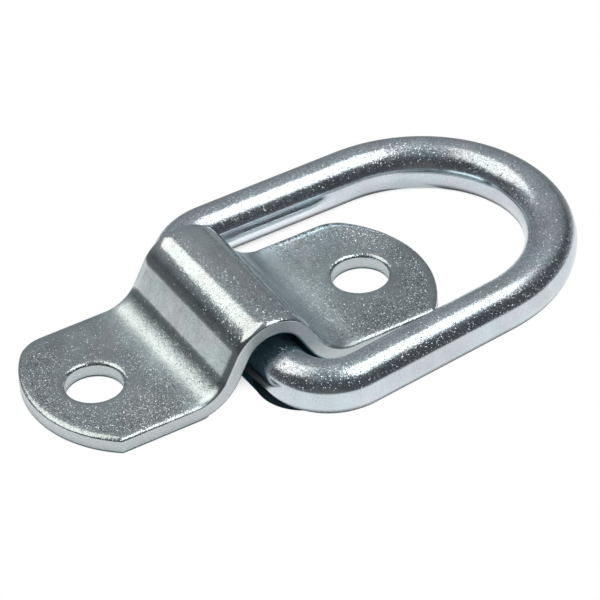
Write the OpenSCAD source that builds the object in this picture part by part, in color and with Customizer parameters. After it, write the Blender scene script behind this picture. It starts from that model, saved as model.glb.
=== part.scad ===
// Bolt-on D-ring: a closed ring of round steel wire, held to a panel by a strap
// that is bent over the ring's straight bar and bolted down through its two ears.
// Origin: on the mounting face, midway between the two bolt holes. +Z is away
// from the panel, and +X points to the ear that the ring lies round at rest.

/* [Strap] */
// Width of the strap
strap_w = 22.4; // [19:0.1:26]
// Thickness of the strap's steel
strap_t = 2; // [1.5:0.1:2.8]
// Distance between the two bolt holes
hole_spacing = 36.5; // [35:0.5:50]
// Diameter of the bolt holes
hole_d = 7; // [5:0.1:9]
// Steel left between each bolt hole and the end of its ear
hole_to_end = 4.4; // [3:0.1:8]
// Radius of the arc across the end of each ear
end_arc_r = 14.4; // [13.5:0.1:30]
// Radius of the rounded corner on the +Y side of each ear
ear_corner_r = 4.4; // [1:0.1:6]
// Radius of the roll-over that punching left round the strap's upper face
edge_roll = 1; // [0.4:0.05:1.2]

/* [Hump] */
// Slope of the hump's flanks above the panel, in degrees
flank_angle = 60; // [52:1:70]
// Radius of the bend at the foot of each flank, on the upper face
foot_bend_r = 4.7; // [2:0.1:6]
// Gap between the ring's bar and the hump's crown, as a difference in radius
crown_gap = 0.7; // [0.3:0.1:1.5]
// Height that the ring's bar can rise inside the hump
bar_lift = 1.6; // [0.8:0.1:3]

/* [Ring] */
// Diameter of the ring's wire
wire_d = 6.35; // [5:0.05:7.5]
// Distance that each corner bend starts inside the hump, with the ring in the middle
bend_inset = 0.4; // [0:0.1:1]
// Radius of the two corner bends, to the middle of the wire
ring_corner_r = 6.7; // [5:0.1:8]
// Angle at which each leg spreads out from the bow towards the bar, in degrees
leg_spread = 3.2; // [0:0.1:5]
// Distance from the middle of the bar to the middle of the bow
ring_reach = 42.6; // [41:0.1:60]

/* [Lie of the loose ring] */
// Angle that the ring lies turned in the hump, in degrees
ring_turn = 3.3; // [-3.3:0.1:3.3]
// Distance that the ring lies slid along the hump, towards -Y
ring_slide = 1.4; // [-1.5:0.1:1.5]

/* [Hidden] */
$fn = 64;

wire_r = wire_d / 2;
hole_r = hole_d / 2;
hole_x = hole_spacing / 2;
half_w = strap_w / 2;
// The roll-over leaves the upper face and meets the side face at these slopes
roll_start = 8;
roll_end = 50;
// Distances of the roll-over's centre from the side face and the upper face
roll_in = edge_roll * sin(roll_end);
roll_down = edge_roll * cos(roll_start);
// Extra length that carries a cut past the face that it opens
over = 1;
// Extra radius that makes each bend cross the faces that it runs into
blend = 0.0005;
// The same for the ears' rounded corners and for the ring's bends
corner_blend = 0.01;
// Length by which the ring's straight runs reach into its bends
lap = 0.2;

// Side profile of the hump: the bends' centres and radii
crown_in_r = wire_r + crown_gap;
crown_out_r = crown_in_r + strap_t;
crown_z = wire_d + bar_lift - crown_in_r;
foot_out_r = foot_bend_r + strap_t;
foot_z = foot_out_r;
// Length of the straight flank between its two bends
flank_len = (crown_z - foot_z + (crown_in_r + foot_out_r) * cos(flank_angle)) / sin(flank_angle);
foot_x = (crown_in_r + foot_out_r) * sin(flank_angle) + flank_len * cos(flank_angle);
// Level inside the strap's thickness, where the hump's outline begins
core_z = strap_t / 2;
// Length that reaches past the hump from any point of it
past_hump = 4 * foot_x;

// Ear outline: end arc, one rounded corner and one sharp corner
ear_end_x = hole_x + hole_r + hole_to_end;
arc_x = ear_end_x - end_arc_r;
corner_y = half_w - ear_corner_r;
corner_x = arc_x + sqrt(pow(end_arc_r - ear_corner_r, 2) - pow(corner_y, 2));
corner_angle = atan2(corner_y, corner_x - arc_x);

// Ring, drawn from the middle of its bar: straight bar, two corners, two legs and a
// round bow. Each leg's line passes leg_off from the middle of the bar.
bar_half = half_w - bend_inset;
leg_off = ring_corner_r * (1 + sin(leg_spread)) + bar_half * cos(leg_spread);
bow_r = (leg_off - ring_reach * sin(leg_spread)) / (1 - sin(leg_spread));
bow_x = ring_reach - bow_r;
leg_len = (bow_x - ring_corner_r) * cos(leg_spread) + bar_half * sin(leg_spread);

// Waste outside a rolled edge whose two faces meet at the origin: the roll-over's
// centre lies inset_x and inset_y inside them
module edge_waste(inset_x = roll_in, inset_y = roll_down) {
    translate([-inset_x, -inset_y])
        difference() {
            square([inset_x + over, inset_y + over]);
            circle(edge_roll);
        }
}

// Waste along both rolled edges of a straight length, whose face is the XY plane
module straight_waste(length) {
    rotate([90, 0, 90]) linear_extrude(length)
        for (side = [0, 1]) mirror([side, 0])
            translate([half_w, 0]) edge_waste();
}

// Waste flared out of a rim of radius r that lies on the X axis: the roll-over's
// centre lies inset_x outside the rim and inset_y below the axis
module rim_flare(r, inset_x, inset_y) {
    translate([r + inset_x, -inset_y])
        difference() {
            translate([-inset_x - over, 0]) square([inset_x + over, inset_y + over]);
            circle(edge_roll);
        }
}

// Waste along both rolled edges of the crown
module crown_waste() {
    translate([0, 0, crown_z]) rotate([90, 0, 0]) rotate(90 - flank_angle)
        rotate_extrude(angle = 2 * flank_angle)
            for (side = [0, 1]) mirror([0, side])
                translate([crown_out_r + blend, half_w]) edge_waste(roll_down, roll_in);
}

// Waste flared out of both rims of a foot bend
module foot_waste() {
    translate([foot_x, 0, foot_z]) rotate([90, 0, 0]) rotate_extrude()
        for (side = [0, 1]) mirror([0, side])
            translate([0, half_w]) rim_flare(foot_bend_r + blend, roll_down, roll_in);
}

// Waste along the rolled edges of a flank, between its foot bend and the crown
module flank_waste() {
    translate([0, 0, crown_z]) rotate([0, flank_angle, 0])
        translate([-over, 0, crown_out_r]) straight_waste(flank_len + over);
}

// Half-plane under the flank line that passes r from the crown's centre
module flank_side(r) {
    translate([0, crown_z]) rotate(-flank_angle)
        translate([-past_hump / 2, r - past_hump]) square(past_hump);
}

// Side view of everything under a face of the strap, down to a level below it:
// a crown and two foot bends of the given radii, with the flanks between them
module under_face(crown_r, foot_r, level) {
    intersection() {
        flank_side(crown_r);
        mirror([1, 0]) flank_side(crown_r);
        union() {
            translate([0, crown_z]) circle(crown_r + blend);
            translate([-foot_x, level])
                square([2 * foot_x, crown_z + crown_r * cos(flank_angle) - level]);
        }
        translate([-foot_x, level]) square([2 * foot_x, past_hump]);
    }
    for (side = [0, 1]) mirror([side, 0])
        difference() {
            polygon([
                [foot_x, level],
                [foot_x, foot_z],
                [foot_x - foot_r * sin(flank_angle), foot_z - foot_r * cos(flank_angle)],
                [foot_x - foot_r * sin(flank_angle), level]
            ]);
            translate([foot_x, foot_z]) circle(foot_r + blend);
        }
}

// Strap with square edges and square ends, before its holes are punched
module bent_blank() {
    rotate([90, 0, 0]) linear_extrude(strap_w, center = true)
        difference() {
            union() {
                translate([-ear_end_x, 0]) square([2 * ear_end_x, strap_t]);
                under_face(crown_out_r, foot_bend_r, core_z);
            }
            under_face(crown_in_r, foot_out_r, -over);
        }
}

// Waste beyond the end arc of an ear, with the arc's rolled edge
module ear_end_waste() {
    translate([arc_x, 0, strap_t]) rotate(-90) rotate_extrude(angle = 180) {
        translate([end_arc_r, -strap_t - over]) square([end_arc_r, strap_t + 2 * over]);
        translate([end_arc_r, 0]) edge_waste();
    }
}

// Waste outside the rounded corner of an ear
module ear_corner_waste() {
    translate([corner_x, corner_y, strap_t]) rotate(corner_angle)
        rotate_extrude(angle = 90 - corner_angle) {
            translate([ear_corner_r + corner_blend, -strap_t - over])
                square([ear_corner_r, strap_t + 2 * over]);
            translate([ear_corner_r + corner_blend, 0]) edge_waste();
        }
}

// Bolt hole with a rolled rim on the upper face
module bolt_hole() {
    translate([hole_x, 0, strap_t]) rotate_extrude() {
        translate([0, -strap_t - over]) square([hole_r, strap_t + 2 * over]);
        rim_flare(hole_r, roll_in, roll_down);
    }
}

// Steel strap: two bolted ears and the hump that traps the ring's bar
module mounting_strap() {
    color("lightsteelblue") difference() {
        bent_blank();
        crown_waste();
        for (side = [0, 1]) mirror([side, 0, 0]) {
            flank_waste();
            foot_waste();
            translate([foot_x, 0, strap_t]) straight_waste(ear_end_x - foot_x + over);
            ear_end_waste();
            ear_corner_waste();
            bolt_hole();
        }
    }
}

// Straight length of the ring's wire along +X, reaching into the bends at both ends
module wire_run(length) {
    translate([-lap, 0, 0]) rotate([0, 90, 0])
        cylinder(r = wire_r - corner_blend, h = length + 2 * lap);
}

// Bend of the ring's wire in the XY plane
module wire_bend(bend_r, start, sweep) {
    rotate(start) rotate_extrude(angle = sweep) translate([bend_r, 0]) circle(wire_r);
}

// Round wire bent to a D, with its two ends welded together in the straight bar
module d_ring() {
    color("silver") translate([0, -ring_slide, wire_r]) rotate(ring_turn) {
        translate([0, -bar_half, 0]) rotate(90) wire_run(2 * bar_half);
        for (side = [0, 1]) mirror([0, side, 0])
            translate([ring_corner_r, bar_half, 0]) {
                wire_bend(ring_corner_r, 90 - leg_spread, 90 + leg_spread);
                rotate(-leg_spread) translate([0, ring_corner_r, 0]) wire_run(leg_len);
            }
        translate([bow_x, 0, 0]) wire_bend(bow_r, leg_spread - 90, 180 - 2 * leg_spread);
    }
}

mounting_strap();
d_ring();
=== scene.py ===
import math

import bmesh
import bpy
from mathutils import Matrix, Vector


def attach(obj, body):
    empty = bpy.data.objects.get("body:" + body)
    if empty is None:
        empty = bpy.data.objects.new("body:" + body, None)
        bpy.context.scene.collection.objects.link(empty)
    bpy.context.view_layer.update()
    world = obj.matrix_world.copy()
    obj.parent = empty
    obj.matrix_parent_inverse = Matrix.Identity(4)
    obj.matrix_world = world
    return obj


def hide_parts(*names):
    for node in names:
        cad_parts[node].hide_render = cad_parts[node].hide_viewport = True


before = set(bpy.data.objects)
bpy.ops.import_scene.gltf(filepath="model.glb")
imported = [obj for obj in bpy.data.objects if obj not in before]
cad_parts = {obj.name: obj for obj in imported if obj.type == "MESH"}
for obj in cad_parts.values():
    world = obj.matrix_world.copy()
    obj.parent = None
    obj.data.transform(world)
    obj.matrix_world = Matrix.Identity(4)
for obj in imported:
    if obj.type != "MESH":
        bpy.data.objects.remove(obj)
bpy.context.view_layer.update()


# MOUNTING STRAP
# The real piece is blanked and punched from 2 mm steel strip and bent over a
# former into its hump. Punching leaves a soft roll-over round the upper face and
# a small burr below. Bright zinc plate covers it with a fine sparkling grain.

mm = 0.001
strap_half = 11.2
strap_thick = 2.0
crown_centre = Vector((0, 0, 4.075))
crown_under = 3.875
flank_slope = 60
foot_under = 6.7
bends_apart = crown_under + foot_under
flank_run = ((crown_centre.z - foot_under + bends_apart * math.cos(math.radians(flank_slope)))
             / math.sin(math.radians(flank_slope)))
foot_centre = Vector((bends_apart * math.sin(math.radians(flank_slope))
                      + flank_run * math.cos(math.radians(flank_slope)), 0, foot_under))
round_corner = 4.4
hole_x, hole_radius = 18.25, 3.5

# The parting cut across the end of each ear: its reach, radius and misalignment.
far_cut = (26.25, 15.1, -0.4)
near_cut = (26.15, 15.1, 0.45)

# The edge between the two faces: a small break below, the straight sheared wall,
# and a roll-over above in arcs of (radius, slope where it starts, where it ends).
# On the +Y side the roll-over is tighter.
edge_break = 0.22
strap_roll = [(0.2, 90, 42), (0.5, 42, 30), (0.85, 30, 20), (1.5, 20, 14), (3.0, 14, 7), (4.0, 7, 0)]
tight_roll = [(0.2, 90, 42), (0.3, 42, 30), (0.35, 30, 20), (0.5, 20, 14), (0.6, 14, 7), (8.0, 7, 0)]
hole_roll = [(0.3, 90, 50), (0.6, 50, 20), (1.1, 20, 7), (2.5, 7, 0)]
wall_top = 5


def edge_profile(roll):
    """Points (distance in from the wall, height) from the lower to the upper face."""
    points = [(edge_break * (1 - math.sin(a)), edge_break * (1 - math.cos(a)))
              for a in (math.radians(d) for d in (0, 30, 60, 90))]
    rise = []
    inset, height = 0.0, 0.0
    for radius, first, last in roll:
        steps = max(3, round((first - last) / 6))
        for i in range(1, steps + 1):
            start = math.radians(first + (last - first) * (i - 1) / steps)
            end = math.radians(first + (last - first) * i / steps)
            inset += radius * (math.sin(start) - math.sin(end))
            height += radius * (math.cos(end) - math.cos(start))
            rise.append((inset, height))
    points.append((0.0, (strap_thick - height) / 2))
    points.append((0.0, strap_thick - height))
    points += [(x, z + strap_thick - height) for x, z in rise]
    return points


def arc(centre, radius, start, end, steps):
    angles = [math.radians(start + (end - start) * i / steps) for i in range(steps + 1)]
    return [(centre[0] + radius * math.cos(a), centre[1] + radius * math.sin(a), a) for a in angles]


def ear_end(reach, cut_radius, cut_y):
    """Stations round an ear's end: a sharp corner, the cut and a rounded corner, over
    which the roll-over tightens."""
    arc_x = reach - cut_radius
    sharp = math.asin((strap_half + cut_y) / cut_radius)
    corner_y = strap_half - round_corner
    corner_x = arc_x + math.sqrt((cut_radius - round_corner) ** 2 - (corner_y - cut_y) ** 2)
    turn = math.degrees(math.atan2(corner_y - cut_y, corner_x - arc_x))
    up = Vector((0, 0, 1))
    inward = (Vector((-math.cos(sharp), math.sin(sharp), 0)) + Vector((0, 1, 0))).normalized()
    mitre = 1 / math.cos((math.pi / 2 - sharp) / 2)
    stations = [(Vector((arc_x + cut_radius * math.cos(sharp), -strap_half, 0)), up, inward, mitre, 0)]
    cut = arc((arc_x, cut_y), cut_radius, -math.degrees(sharp), turn, 44)[1:]
    for x, y, a in cut + arc((corner_x, corner_y), round_corner, turn, 90, 20)[1:]:
        tight = max(0, (math.degrees(a) - turn) / (90 - turn))
        stations.append((Vector((x, y, 0)), up, Vector((-math.cos(a), -math.sin(a), 0)), 1, tight))
    return stations


def outline_stations():
    """Round the strap: base point, sheet normal, direction inwards, mitre and how far
    the roll-over is the tight one."""
    side = []
    bends = [(foot_centre, -foot_under, 0, flank_slope, 24), (crown_centre, crown_under, flank_slope, 0, 28)]
    for centre, radius, first, last, steps in bends:
        for i in range(steps + 1):
            a = math.radians(first + (last - first) * i / steps)
            normal = Vector((math.sin(a), 0, math.cos(a)))
            side.append((centre + normal * radius, normal))
    right = [(b + Vector((0, strap_half, 0)), n, Vector((0, -1, 0)), 1, 1) for b, n in side]
    flip = Matrix.Diagonal((-1, 1, 1))
    left = [(flip @ b, flip @ n, *rest) for b, n, *rest in reversed(right[:-1])]
    top = right + left
    near_end = [(flip @ b, n, flip @ i, m, t) for b, n, i, m, t in reversed(ear_end(*near_cut))]
    turned = Matrix.Diagonal((1, -1, 1))
    bottom = [(turned @ b, n, turned @ i, m, 0) for b, n, i, m, t in reversed(top)]
    return ear_end(*far_cut), top, near_end, bottom


def build_strap():
    profile, tight_profile = edge_profile(strap_roll), edge_profile(tight_roll)
    far_end, top, near_end, bottom = outline_stations()
    stations = far_end + top + near_end + bottom
    mesh = bmesh.new()
    rubbed = mesh.verts.layers.float.new("rubbed")

    def profile_verts(base, inward, normal, shape, smooth):
        made = []
        for k, (inset, height) in enumerate(shape):
            vert = mesh.verts.new((base + inward * inset + normal * height) * mm)
            vert[rubbed] = 1 - max(0, min(1, (inset - smooth) / 0.8)) if k >= wall_top else 0
            made.append(vert)
        return made

    belt = []
    for base, normal, inward, mitre, tight in stations:
        shape = [(a * (1 - tight) + c * tight, b * (1 - tight) + d * tight)
                 for (a, b), (c, d) in zip(profile, tight_profile)]
        belt.append(profile_verts(base, inward * mitre, normal, shape, 0.8 + 0.5 * tight))
    count = len(stations)
    for i in range(count):
        here, there = belt[i], belt[(i + 1) % count]
        for j in range(len(profile) - 1):
            face = mesh.faces.new((here[j], there[j], there[j + 1], here[j + 1]))
            # The sheared wall takes material 1. The small break below it takes material 2, zinc painted
            # dark: painted shade along the lower edge.
            if j < wall_top:
                face.material_index = 1 if j > 2 else 2
    first = len(far_end)
    size = len(top)
    for k in range(size - 1):
        a, b = belt[first + k], belt[first + k + 1]
        last = first + size + len(near_end)
        c, d = belt[last + size - 2 - k], belt[last + size - 1 - k]
        mesh.faces.new((a[-1], b[-1], c[-1], d[-1]))
        # The underside of the hump takes material 2 too: painted shade inside the hump.
        inside = mesh.faces.new((d[0], c[0], b[0], a[0]))
        inside.material_index = 2
    ears = (list(range(last, count))[-1:] + list(range(first + 1)),
            list(range(first + size - 1, last + 1)))
    for ear, sign in zip(ears, (1, -1)):
        rim = []
        steps = 72
        hole_profile = edge_profile(hole_roll)
        for i in range(steps):
            a = 2 * math.pi * i / steps
            out = Vector((math.cos(a), math.sin(a), 0))
            centre = Vector((sign * hole_x, 0, 0))
            rim.append(profile_verts(centre + out * hole_radius, out, Vector((0, 0, 1)), hole_profile, 0.8))
        for i in range(steps):
            here, there = rim[i], rim[(i + 1) % steps]
            for j in range(len(hole_profile) - 1):
                face = mesh.faces.new((there[j], here[j], here[j + 1], there[j + 1]))
                # In the holes as well, the break below the wall takes the zinc painted dark as shade.
                if j < wall_top:
                    face.material_index = 1 if j > 2 else 2
        for level, facing in ((-1, 1), (0, -1)):
            edges = []
            loop = [belt[i][level] for i in ear]
            ring_loop = [r[level] for r in rim]
            for chain in (loop, ring_loop):
                for p, q in zip(chain, chain[1:] + chain[:1]):
                    edges.append(mesh.edges.get((p, q)) or mesh.edges.new((p, q)))
            filled = bmesh.ops.triangle_fill(mesh, use_beauty=True, edges=edges,
                                             normal=Vector((0, 0, facing)))
            flat = [f for f in filled["geom"] if isinstance(f, bmesh.types.BMFace)]
            for face in flat:
                if face.normal.z * facing < 0:
                    face.normal_flip()
    bmesh.ops.recalc_face_normals(mesh, faces=mesh.faces)
    data = bpy.data.meshes.new("plated_strap")
    mesh.to_mesh(data)
    mesh.free()
    for polygon in data.polygons:
        polygon.use_smooth = True
    data.set_sharp_from_angle(angle=math.radians(35))
    made = bpy.data.objects.new("plated_strap", data)
    bpy.context.scene.collection.objects.link(made)
    weigh = made.modifiers.new("even_shading", "WEIGHTED_NORMAL")
    weigh.keep_sharp = True
    return made


class Link:
    """A socket in a material, with arithmetic that adds the nodes for it."""

    def __init__(self, tree, socket):
        self.tree = tree
        self.socket = socket

    def plug(self, target, value):
        if isinstance(value, Link):
            self.tree.links.new(value.socket, target)
        else:
            target.default_value = value

    def node(self, kind, settings=None, values=None, output=0):
        made = self.tree.nodes.new(kind)
        for name, value in (settings or {}).items():
            setattr(made, name, value)
        for name, value in (values or {}).items():
            self.plug(made.inputs[name], value)
        return Link(self.tree, made.outputs[output])

    def maths(self, operation, *values):
        return self.node("ShaderNodeMath", {"operation": operation}, dict(enumerate(values)))

    def vector(self, operation, *values):
        return self.node("ShaderNodeVectorMath", {"operation": operation}, dict(enumerate(values)))

    def __add__(self, other):
        return self.maths("ADD", self, other)

    def __sub__(self, other):
        return self.maths("SUBTRACT", self, other)

    def __mul__(self, other):
        return self.maths("MULTIPLY", self, other)

    def __truediv__(self, other):
        return self.maths("DIVIDE", self, other)

    def __rsub__(self, other):
        return self.maths("SUBTRACT", other, self)

    __radd__ = __add__
    __rmul__ = __mul__

    def between(self, low, high):
        """0 below low, 1 above high, and smooth between them."""
        return self.node("ShaderNodeMapRange", {"interpolation_type": "SMOOTHSTEP"},
                         {"Value": self, "From Min": low, "From Max": high})

    def blend(self, dark, light):
        """A colour from dark where this is 0 to light where it is 1."""
        return self.node("ShaderNodeMix", {"data_type": "RGBA"}, {0: self, 6: dark, 7: light}, 2)


def new_material(name):
    """An empty material, its object coordinates and its shader."""
    material = bpy.data.materials.new(name)
    material.use_nodes = True
    tree = material.node_tree
    coordinates = tree.nodes.new("ShaderNodeTexCoord")
    return material, Link(tree, coordinates.outputs["Object"]), tree.nodes["Principled BSDF"]


def scaled(colour, amount):
    return tuple(min(c * amount, 1) for c in colour) + (1,)


def zinc_plate(name, tint, grain, sparkle, mottle, roughness, metallic, zones):
    """Bright zinc: crystals of the size grain, tilted by up to sparkle. zones gives the
    share of steep crystals, the tilt of the rest, the tone by place, partly a painted
    sheen, the green and the blur."""
    material, place, shader = new_material(name)
    worn = place.node("ShaderNodeAttribute", {"attribute_name": "rubbed"}, None, "Fac")
    fresh = 1 - worn * 0.8
    spot = place.tree.nodes.new("ShaderNodeSeparateXYZ")
    place.plug(spot.inputs[0], place)
    steep, lively, tone_and_painted_sheen, green, blur = zones(*(Link(place.tree, axis) for axis in spot.outputs))
    crystals = place.node("ShaderNodeTexVoronoi", None,
                          {"Vector": place, "Scale": 1 / grain}, "Color")
    lean = crystals.vector("SUBTRACT", crystals, (0.5, 0.5, 0.5))
    chance = place.node("ShaderNodeTexWhiteNoise", None, {"Vector": crystals}, "Value")
    cloud = place.node("ShaderNodeTexNoise", None,
                       {"Vector": place, "Scale": 260.0, "Detail": 3.0})
    swell = place.node("ShaderNodeTexNoise", None,
                       {"Vector": place, "Scale": 420.0, "Detail": 1.0})
    level = place.node("ShaderNodeBump", None,
                       {"Strength": 1.0, "Distance": 0.000010, "Height": swell})
    tilt = (chance - (1 - steep)).maths("DIVIDE", chance - (1 - steep), 0.25)
    tilt = tilt.maths("MINIMUM", tilt, 1.0)
    tilt = tilt.maths("MAXIMUM", tilt, chance * lively) * fresh * sparkle
    turned = level.vector("ADD", level, lean.node(
        "ShaderNodeVectorMath", {"operation": "SCALE"}, {0: lean, "Scale": tilt * 2}))
    turned = turned.vector("NORMALIZE", turned)
    shade = crystals.node("ShaderNodeSeparateColor", None, {"Color": crystals})
    # The colour varies by crystal, by cloud and by place; the place term is tone, partly a painted sheen.
    uneven = (shade - 0.5) * fresh * (lively * 4 + 0.15) + (cloud - 0.5) * 0.5 + tone_and_painted_sheen + 0.5
    film = place.node("ShaderNodeTexNoise", None, {"Vector": place, "Scale": 190.0})
    bright = (film + green).between(0.35, 0.65).blend(
        scaled((tint[0] * 1.03, tint[1] * 0.985, tint[2]), 1 + mottle),
        scaled((tint[0] * 0.94, tint[1] * 1.015, tint[2] * 1.02), 1 + mottle))
    place.plug(shader.inputs["Base Color"], uneven.blend(scaled(tint, 1 - mottle), bright))
    place.plug(shader.inputs["Roughness"],
               shade * 0.06 + cloud * 0.06 - worn * 0.05 + blur + (roughness - 0.06))
    place.plug(shader.inputs["Normal"], turned)
    shader.inputs["Metallic"].default_value = metallic
    return material


def strip_zones(x, y, z):
    """The ears are the grainiest and the flanks the smoothest."""
    out = x.maths("ABSOLUTE", x)
    ears = (0 - x).between(0.0095, 0.0120) + x.between(0.0080, 0.0100)
    foot = out.between(0.0062, 0.0080) * (1 - out.between(0.0105, 0.0135))
    flank = out.between(0.0044, 0.0052) * (1 - out.between(0.0064, 0.0074))
    crown = x.between(-0.0018, 0.0) * (1 - x.between(0.0060, 0.0080))
    far_side = x.between(0.0015, 0.0035)
    far_end = x.between(0.0070, 0.0090) * (x * 0.55 - y * 0.83).between(0.004, 0.018)
    steep = ears * 0.46 + crown * 0.32 + foot * 0.12 - flank * 0.10 + 0.14
    lively = ears * 0.11 + crown * 0.03 + foot * 0.03 - flank * 0.08 + 0.13
    # Tone by place: the crown paler towards +Y, the foot and the far ear paler, the ears and the far ear's
    # end darker. The far side and the foot are greener. On the crown's far side, towards its outline, the
    # paler and greener band is a painted sheen.
    tone_and_painted_sheen = (crown * (y.between(-0.004, 0.006) * 0.06 + far_side * 0.16) + foot * 0.12
            + x.between(0.0090, 0.0120) * 0.19 - far_end * 0.30 - ears * 0.09)
    return steep, lively, tone_and_painted_sheen, far_side * 0.14 + foot * 0.14, ears * 0.04 + foot * 0.20


def sheared_zones(x, y, z):
    """Straight walls from the shear and the punch."""
    return x * 0.0, 0.10, x * 0.0, 0.05, 0.0


strap = build_strap()
strap.data.materials.append(
    zinc_plate("zinc_on_strip", (0.56, 0.605, 0.63), 0.00010, 0.86, 0.64, 0.15, 1.0, strip_zones))
strap.data.materials.append(
    zinc_plate("zinc_on_sheared_edge", (0.86, 0.95, 0.99), 0.00025, 0.08, 0.14, 0.36, 0.42,
               sheared_zones))
# Material 2 is zinc with a dark teal tint: painted shade for the hump's underside and the lower edge breaks.
strap.data.materials.append(
    zinc_plate("zinc_painted_dark_for_shade", (0.30, 0.50, 0.56), 0.00020, 0.10, 0.20, 0.50, 0.3,
               sheared_zones))
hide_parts("mounting_strap")
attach(strap, "strap")


# D-RING
# The real piece is 6.35 mm round wire, bent cold to a D whose legs spread a little,
# butt-welded in the bar and plated with the strap. It lies loose: a little turned
# and slid in the hump.

wire = 3.175
bar_half = 10.8
near_corner, far_corner = 6.1, 7.0
spread = math.radians(3.2)
reach = 42.6
turned = math.radians(3.3)
slid = 1.4


def ring_path():
    """Centre line of the wire, closed, with the outward direction at each point."""
    leg_off = 6.7 * (1 + math.sin(spread)) + bar_half * math.cos(spread)
    bow = (leg_off - reach * math.sin(spread)) / (1 - math.sin(spread))
    quarter = math.pi / 2
    far_y, near_y = ((leg_off - r * (1 + math.sin(spread))) / math.cos(spread)
                     for r in (far_corner, near_corner))
    bends = [((far_corner, far_y), far_corner, 2 * quarter, quarter - spread, 30),
             ((reach - bow, 0), bow, quarter - spread, -quarter + spread, 60),
             ((near_corner, -near_y), near_corner, -quarter + spread, -2 * quarter, 30)]
    path = []
    for (x, y), radius, first, last, steps in bends:
        for i in range(steps + 1):
            a = first + (last - first) * i / steps
            path.append((Vector((x + radius * math.cos(a), y + radius * math.sin(a), wire)),
                         Vector((math.cos(a), math.sin(a), 0))))
    return path


def build_ring():
    mesh = bmesh.new()
    place = Matrix.Translation((0, -slid, 0)) @ Matrix.Rotation(turned, 4, "Z")
    round_steps = 56
    hoops = []
    for point, outward in ring_path():
        hoop = []
        for i in range(round_steps):
            a = 2 * math.pi * i / round_steps
            skin = point + (outward * math.cos(a) + Vector((0, 0, math.sin(a)))) * wire
            hoop.append(mesh.verts.new((place @ skin) * mm))
        hoops.append(hoop)
    for i, here in enumerate(hoops):
        there = hoops[(i + 1) % len(hoops)]
        for j in range(round_steps):
            k = (j + 1) % round_steps
            mesh.faces.new((here[j], here[k], there[k], there[j]))
    bmesh.ops.recalc_face_normals(mesh, faces=mesh.faces)
    data = bpy.data.meshes.new("wire_ring")
    mesh.to_mesh(data)
    mesh.free()
    for polygon in data.polygons:
        polygon.use_smooth = True
    made = bpy.data.objects.new("wire_ring", data)
    bpy.context.scene.collection.objects.link(made)
    return made


def wire_zones(x, y, z):
    """The upper side is the grainiest; drawing left the sides and underside smooth."""
    upper = z.between(0.0042, 0.0051)
    # On the far leg's inner face, at mid height along the part near the bar, the wire is made paler: a
    # painted sheen.
    far_leg_sheen = (y.between(0.0120, 0.0128) * (1 - y.between(0.0140, 0.0150)) * z.between(0.0018, 0.0026)
             * (1 - z.between(0.0042, 0.0050)) * x.between(0.004, 0.007) * (1 - x.between(0.018, 0.024)))
    return upper * 0.26, upper * 0.12 + 0.01, far_leg_sheen * 0.45, 0.0, upper * 0.09


ring = build_ring()
ring.data.materials.append(
    zinc_plate("zinc_on_wire", (0.595, 0.645, 0.68), 0.00010, 0.50, 0.44, 0.12, 1.0, wire_zones))
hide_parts("d_ring")
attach(ring, "ring")


# STUDIO
# A white table with painted shade under the hump and round the ring's near bend,
# a soft box high at the back left, a soft panel overhead on the right, and a dim
# room round them.

bpy.ops.mesh.primitive_plane_add(size=3.0, location=(0, 0, -0.00002))
table = bpy.context.object
table.name = "table"
paper = bpy.data.materials.new("white_table")
paper.use_nodes = True
tree = paper.node_tree
tree.nodes.clear()
path = tree.nodes.new("ShaderNodeLightPath")
seen, glossy, through = (Link(tree, path.outputs[kind]) for kind in (
    "Is Camera Ray", "Is Glossy Ray", "Is Transmission Ray"))
mirrored = glossy.maths("MAXIMUM", glossy, through)
spot = tree.nodes.new("ShaderNodeSeparateXYZ")
tree.links.new(tree.nodes.new("ShaderNodeTexCoord").outputs["Object"], spot.inputs[0])
along, across = Link(tree, spot.outputs[0]), Link(tree, spot.outputs[1])
clear = seen.node("ShaderNodeAmbientOcclusion", {"samples": 12}, {"Distance": 0.03}, "AO")
# Painted shade: under the hump's tunnel the glow is cut and the table is painted dark teal.
tunnel_shade = (along.between(-0.00225, -0.00215) * (1 - along.between(0.0068, 0.0080))
          * (1 - across.maths("ABSOLUTE", across).between(0.0108, 0.0116)))
# Painted shadow: a disc of table round the ring's near bend, but for a patch inside the D, loses its glow in
# camera and reflections and is painted near black.
beside = (along - 0.00400) * (along - 0.00400) + (across + 0.01113) * (across + 0.01113)
inside = along.between(0.0020, 0.0045) * across.between(-0.0165, -0.0155)
bend_shadow = (1 - beside.maths("SQRT", beside).between(0.0062, 0.0063)) * (1 - inside)
# Painted shade in reflections: under the hump the metal sees no glow, only the table's own lit shade.
shade_under_hump = ((1 - along.maths("ABSOLUTE", along).between(0.0098, 0.0106))
              * (1 - across.maths("ABSOLUTE", across).between(0.0104, 0.0118)))
# Painted shade in reflections: behind the object the glow the metal sees is cut to a tenth, and the table
# there is painted a darker grey.
shade_behind = ((along * 0.55 + across * 0.835).between(0.022, 0.036)
          * along.between(-0.06, -0.02))
crease = seen.node("ShaderNodeAmbientOcclusion", {"samples": 8}, {"Distance": 0.0003}, "AO")
white_seen = (seen * clear.between(0.0, 0.05) * crease.between(0.30, 0.62)
              * (1 - tunnel_shade) * (1 - bend_shadow))
near_floor = seen.node("ShaderNodeAmbientOcclusion", {"samples": 6}, {"Distance": 0.0018}, "AO")
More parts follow.
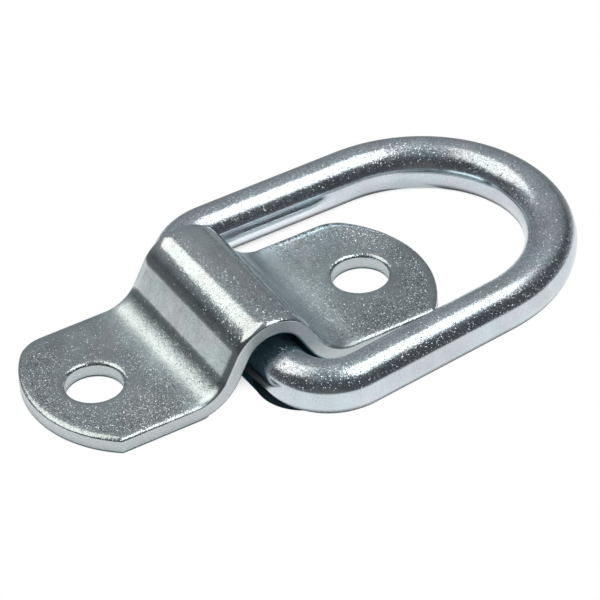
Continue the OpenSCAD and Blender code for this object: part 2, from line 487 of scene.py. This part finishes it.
# Painted light in reflections: in the gap between the strap and the far leg, and inside the holes, the metal
# sees the full glow however closed in the table is there.
lit_gap = (across.between(0.0105, 0.0112) * (1 - across.between(0.0132, 0.0140))
       * along.between(0.006, 0.009))
from_hole = along.maths("ABSOLUTE", along) - 0.01825
lit_in_hole = 1 - (from_hole * from_hole + across * across).between(0.0000088, 0.0000110)
lit_floor = near_floor.between(0.3, 0.8).maths("MAXIMUM", near_floor.between(0.3, 0.8), lit_gap)
lit_floor = lit_floor.maths("MAXIMUM", lit_floor, lit_in_hole)
white_mirrored = (mirrored * lit_floor * (1 - shade_under_hump) * (1 - bend_shadow)
                  * (1 - shade_behind * 0.9))
# The table's own light grey, painted dark teal in the tunnel and darker grey behind as shade.
shade = tunnel_shade.blend((0.62, 0.62, 0.62, 1), (0.12, 0.32, 0.40, 1))
shade = shade_behind.blend(shade, (0.35, 0.36, 0.37, 1))
# Round the near bend the table is painted near black: a painted shadow.
matt = seen.node("ShaderNodeBsdfDiffuse", None, {
    "Color": bend_shadow.blend(shade, (0.06, 0.11, 0.14, 1))})
glow = seen.node("ShaderNodeEmission", None, {"Color": (1, 1, 1, 1), "Strength": 1.0})
paint = seen.node("ShaderNodeMixShader", None,
                  {0: white_seen.maths("MAXIMUM", white_seen, white_mirrored), 1: matt, 2: glow})
output = tree.nodes.new("ShaderNodeOutputMaterial")
tree.links.new(paint.socket, output.inputs["Surface"])
table.data.materials.append(paper)


def soft_light(name, shape, azimuth, elevation, slope, width, height, radiance, colour):
    """A soft light 1 m away, tilted down by slope from upright."""
    lamp = bpy.data.lights.new(name, "AREA")
    lamp.shape = shape
    lamp.size = width
    lamp.size_y = height
    lamp.energy = radiance * math.pi * width * height
    lamp.color = colour
    lamp_object = bpy.data.objects.new(name, lamp)
    az, el = math.radians(azimuth), math.radians(elevation)
    towards = Vector((math.cos(az) * math.cos(el), math.sin(az) * math.cos(el), math.sin(el)))
    lamp_object.location = towards
    lamp_object.rotation_euler = (math.radians(90 - slope), 0, az + math.radians(90))
    bpy.context.scene.collection.objects.link(lamp_object)


soft_light("soft_box", "RECTANGLE", 124, 54.7, 54.7, 0.86, 0.655, 1.34, (1.03, 0.97, 0.90))
soft_light("overhead_panel", "ELLIPSE", -16, 65.4, 90, 0.88, 0.53, 1.8, (1.0, 1.0, 1.0))

world = bpy.data.worlds.new("studio_room")
bpy.context.scene.world = world
world.use_nodes = True
tree = world.node_tree
backdrop = tree.nodes["Background"]
facing = tree.nodes.new("ShaderNodeTexCoord")
room = Link(tree, facing.outputs["Generated"])
split = tree.nodes.new("ShaderNodeSeparateXYZ")
room.plug(split.inputs[0], room)
dx, dy, dz = (Link(tree, split.outputs[i]) for i in range(3))
level_run = (1 - dz * dz).maths("SQRT", 1 - dz * dz)
back_right = ((dx * 0.37 + dy * 0.93) / level_run + dz * 1.1).between(0.72, 1.27)
front = ((dx * -0.5 - dy * 0.866) / level_run).between(0.0, 0.30)
back_left = ((dy * 0.5 - dx * 0.866) / level_run).between(0.2, 0.6)
passer = (dz * 0.342 - dx * 0.604 - dy * 0.72).between(0.93, 0.99)
walls = passer.blend((0.084, 0.087, 0.096, 1), (0.155, 0.140, 0.138, 1))
low_left = ((0 - dx) / level_run).between(0.0, 0.4) * (1 - dz.between(0.18, 0.36))
walls = low_left.blend(walls, (0.150, 0.158, 0.160, 1))
walls = back_right.blend(walls, (0.318, 0.332, 0.352, 1))
lamp_spill = (dx * 0.25 + dy * 0.433 + dz * 0.866).between(0.86, 0.98)
walls = dz.between(0.75, 0.98).blend(walls, (0.25, 0.27, 0.285, 1))
walls = (lamp_spill * 0.16).blend(walls, (0.95, 0.97, 0.95, 1))
walls = ((1 - dz.between(0.0, 0.09)) * back_left).blend(walls, (0.45, 0.46, 0.47, 1))
walls = ((1 - dz.between(0.03, 0.10)) * front).blend(walls, (0.92, 0.92, 0.92, 1))
path = tree.nodes.new("ShaderNodeLightPath")
seen = Link(tree, path.outputs["Is Camera Ray"])
room.plug(backdrop.inputs["Color"], seen.blend(walls, (1, 1, 1, 1)))


# CAMERA
# A long lens from the front left, 38 degrees above the table.

camera_data = bpy.data.cameras.new("camera")
camera = bpy.data.objects.new("camera", camera_data)
bpy.context.scene.collection.objects.link(camera)
camera_data.lens = 261.3
camera_data.sensor_width = 36
camera_data.clip_start = 0.01
camera.matrix_world = (
    Matrix.Translation((0.00888, -0.00176, 0.00321))
    @ Matrix.Rotation(math.radians(-28.28), 4, "Z")
    @ Matrix.Rotation(math.radians(52.08), 4, "X")
    @ Matrix.Rotation(math.radians(-3.95), 4, "Z")
    @ Matrix.Translation((0, 0, 0.5178)))
bpy.context.scene.camera = camera
bpy.context.scene.view_settings.view_transform = "Standard"
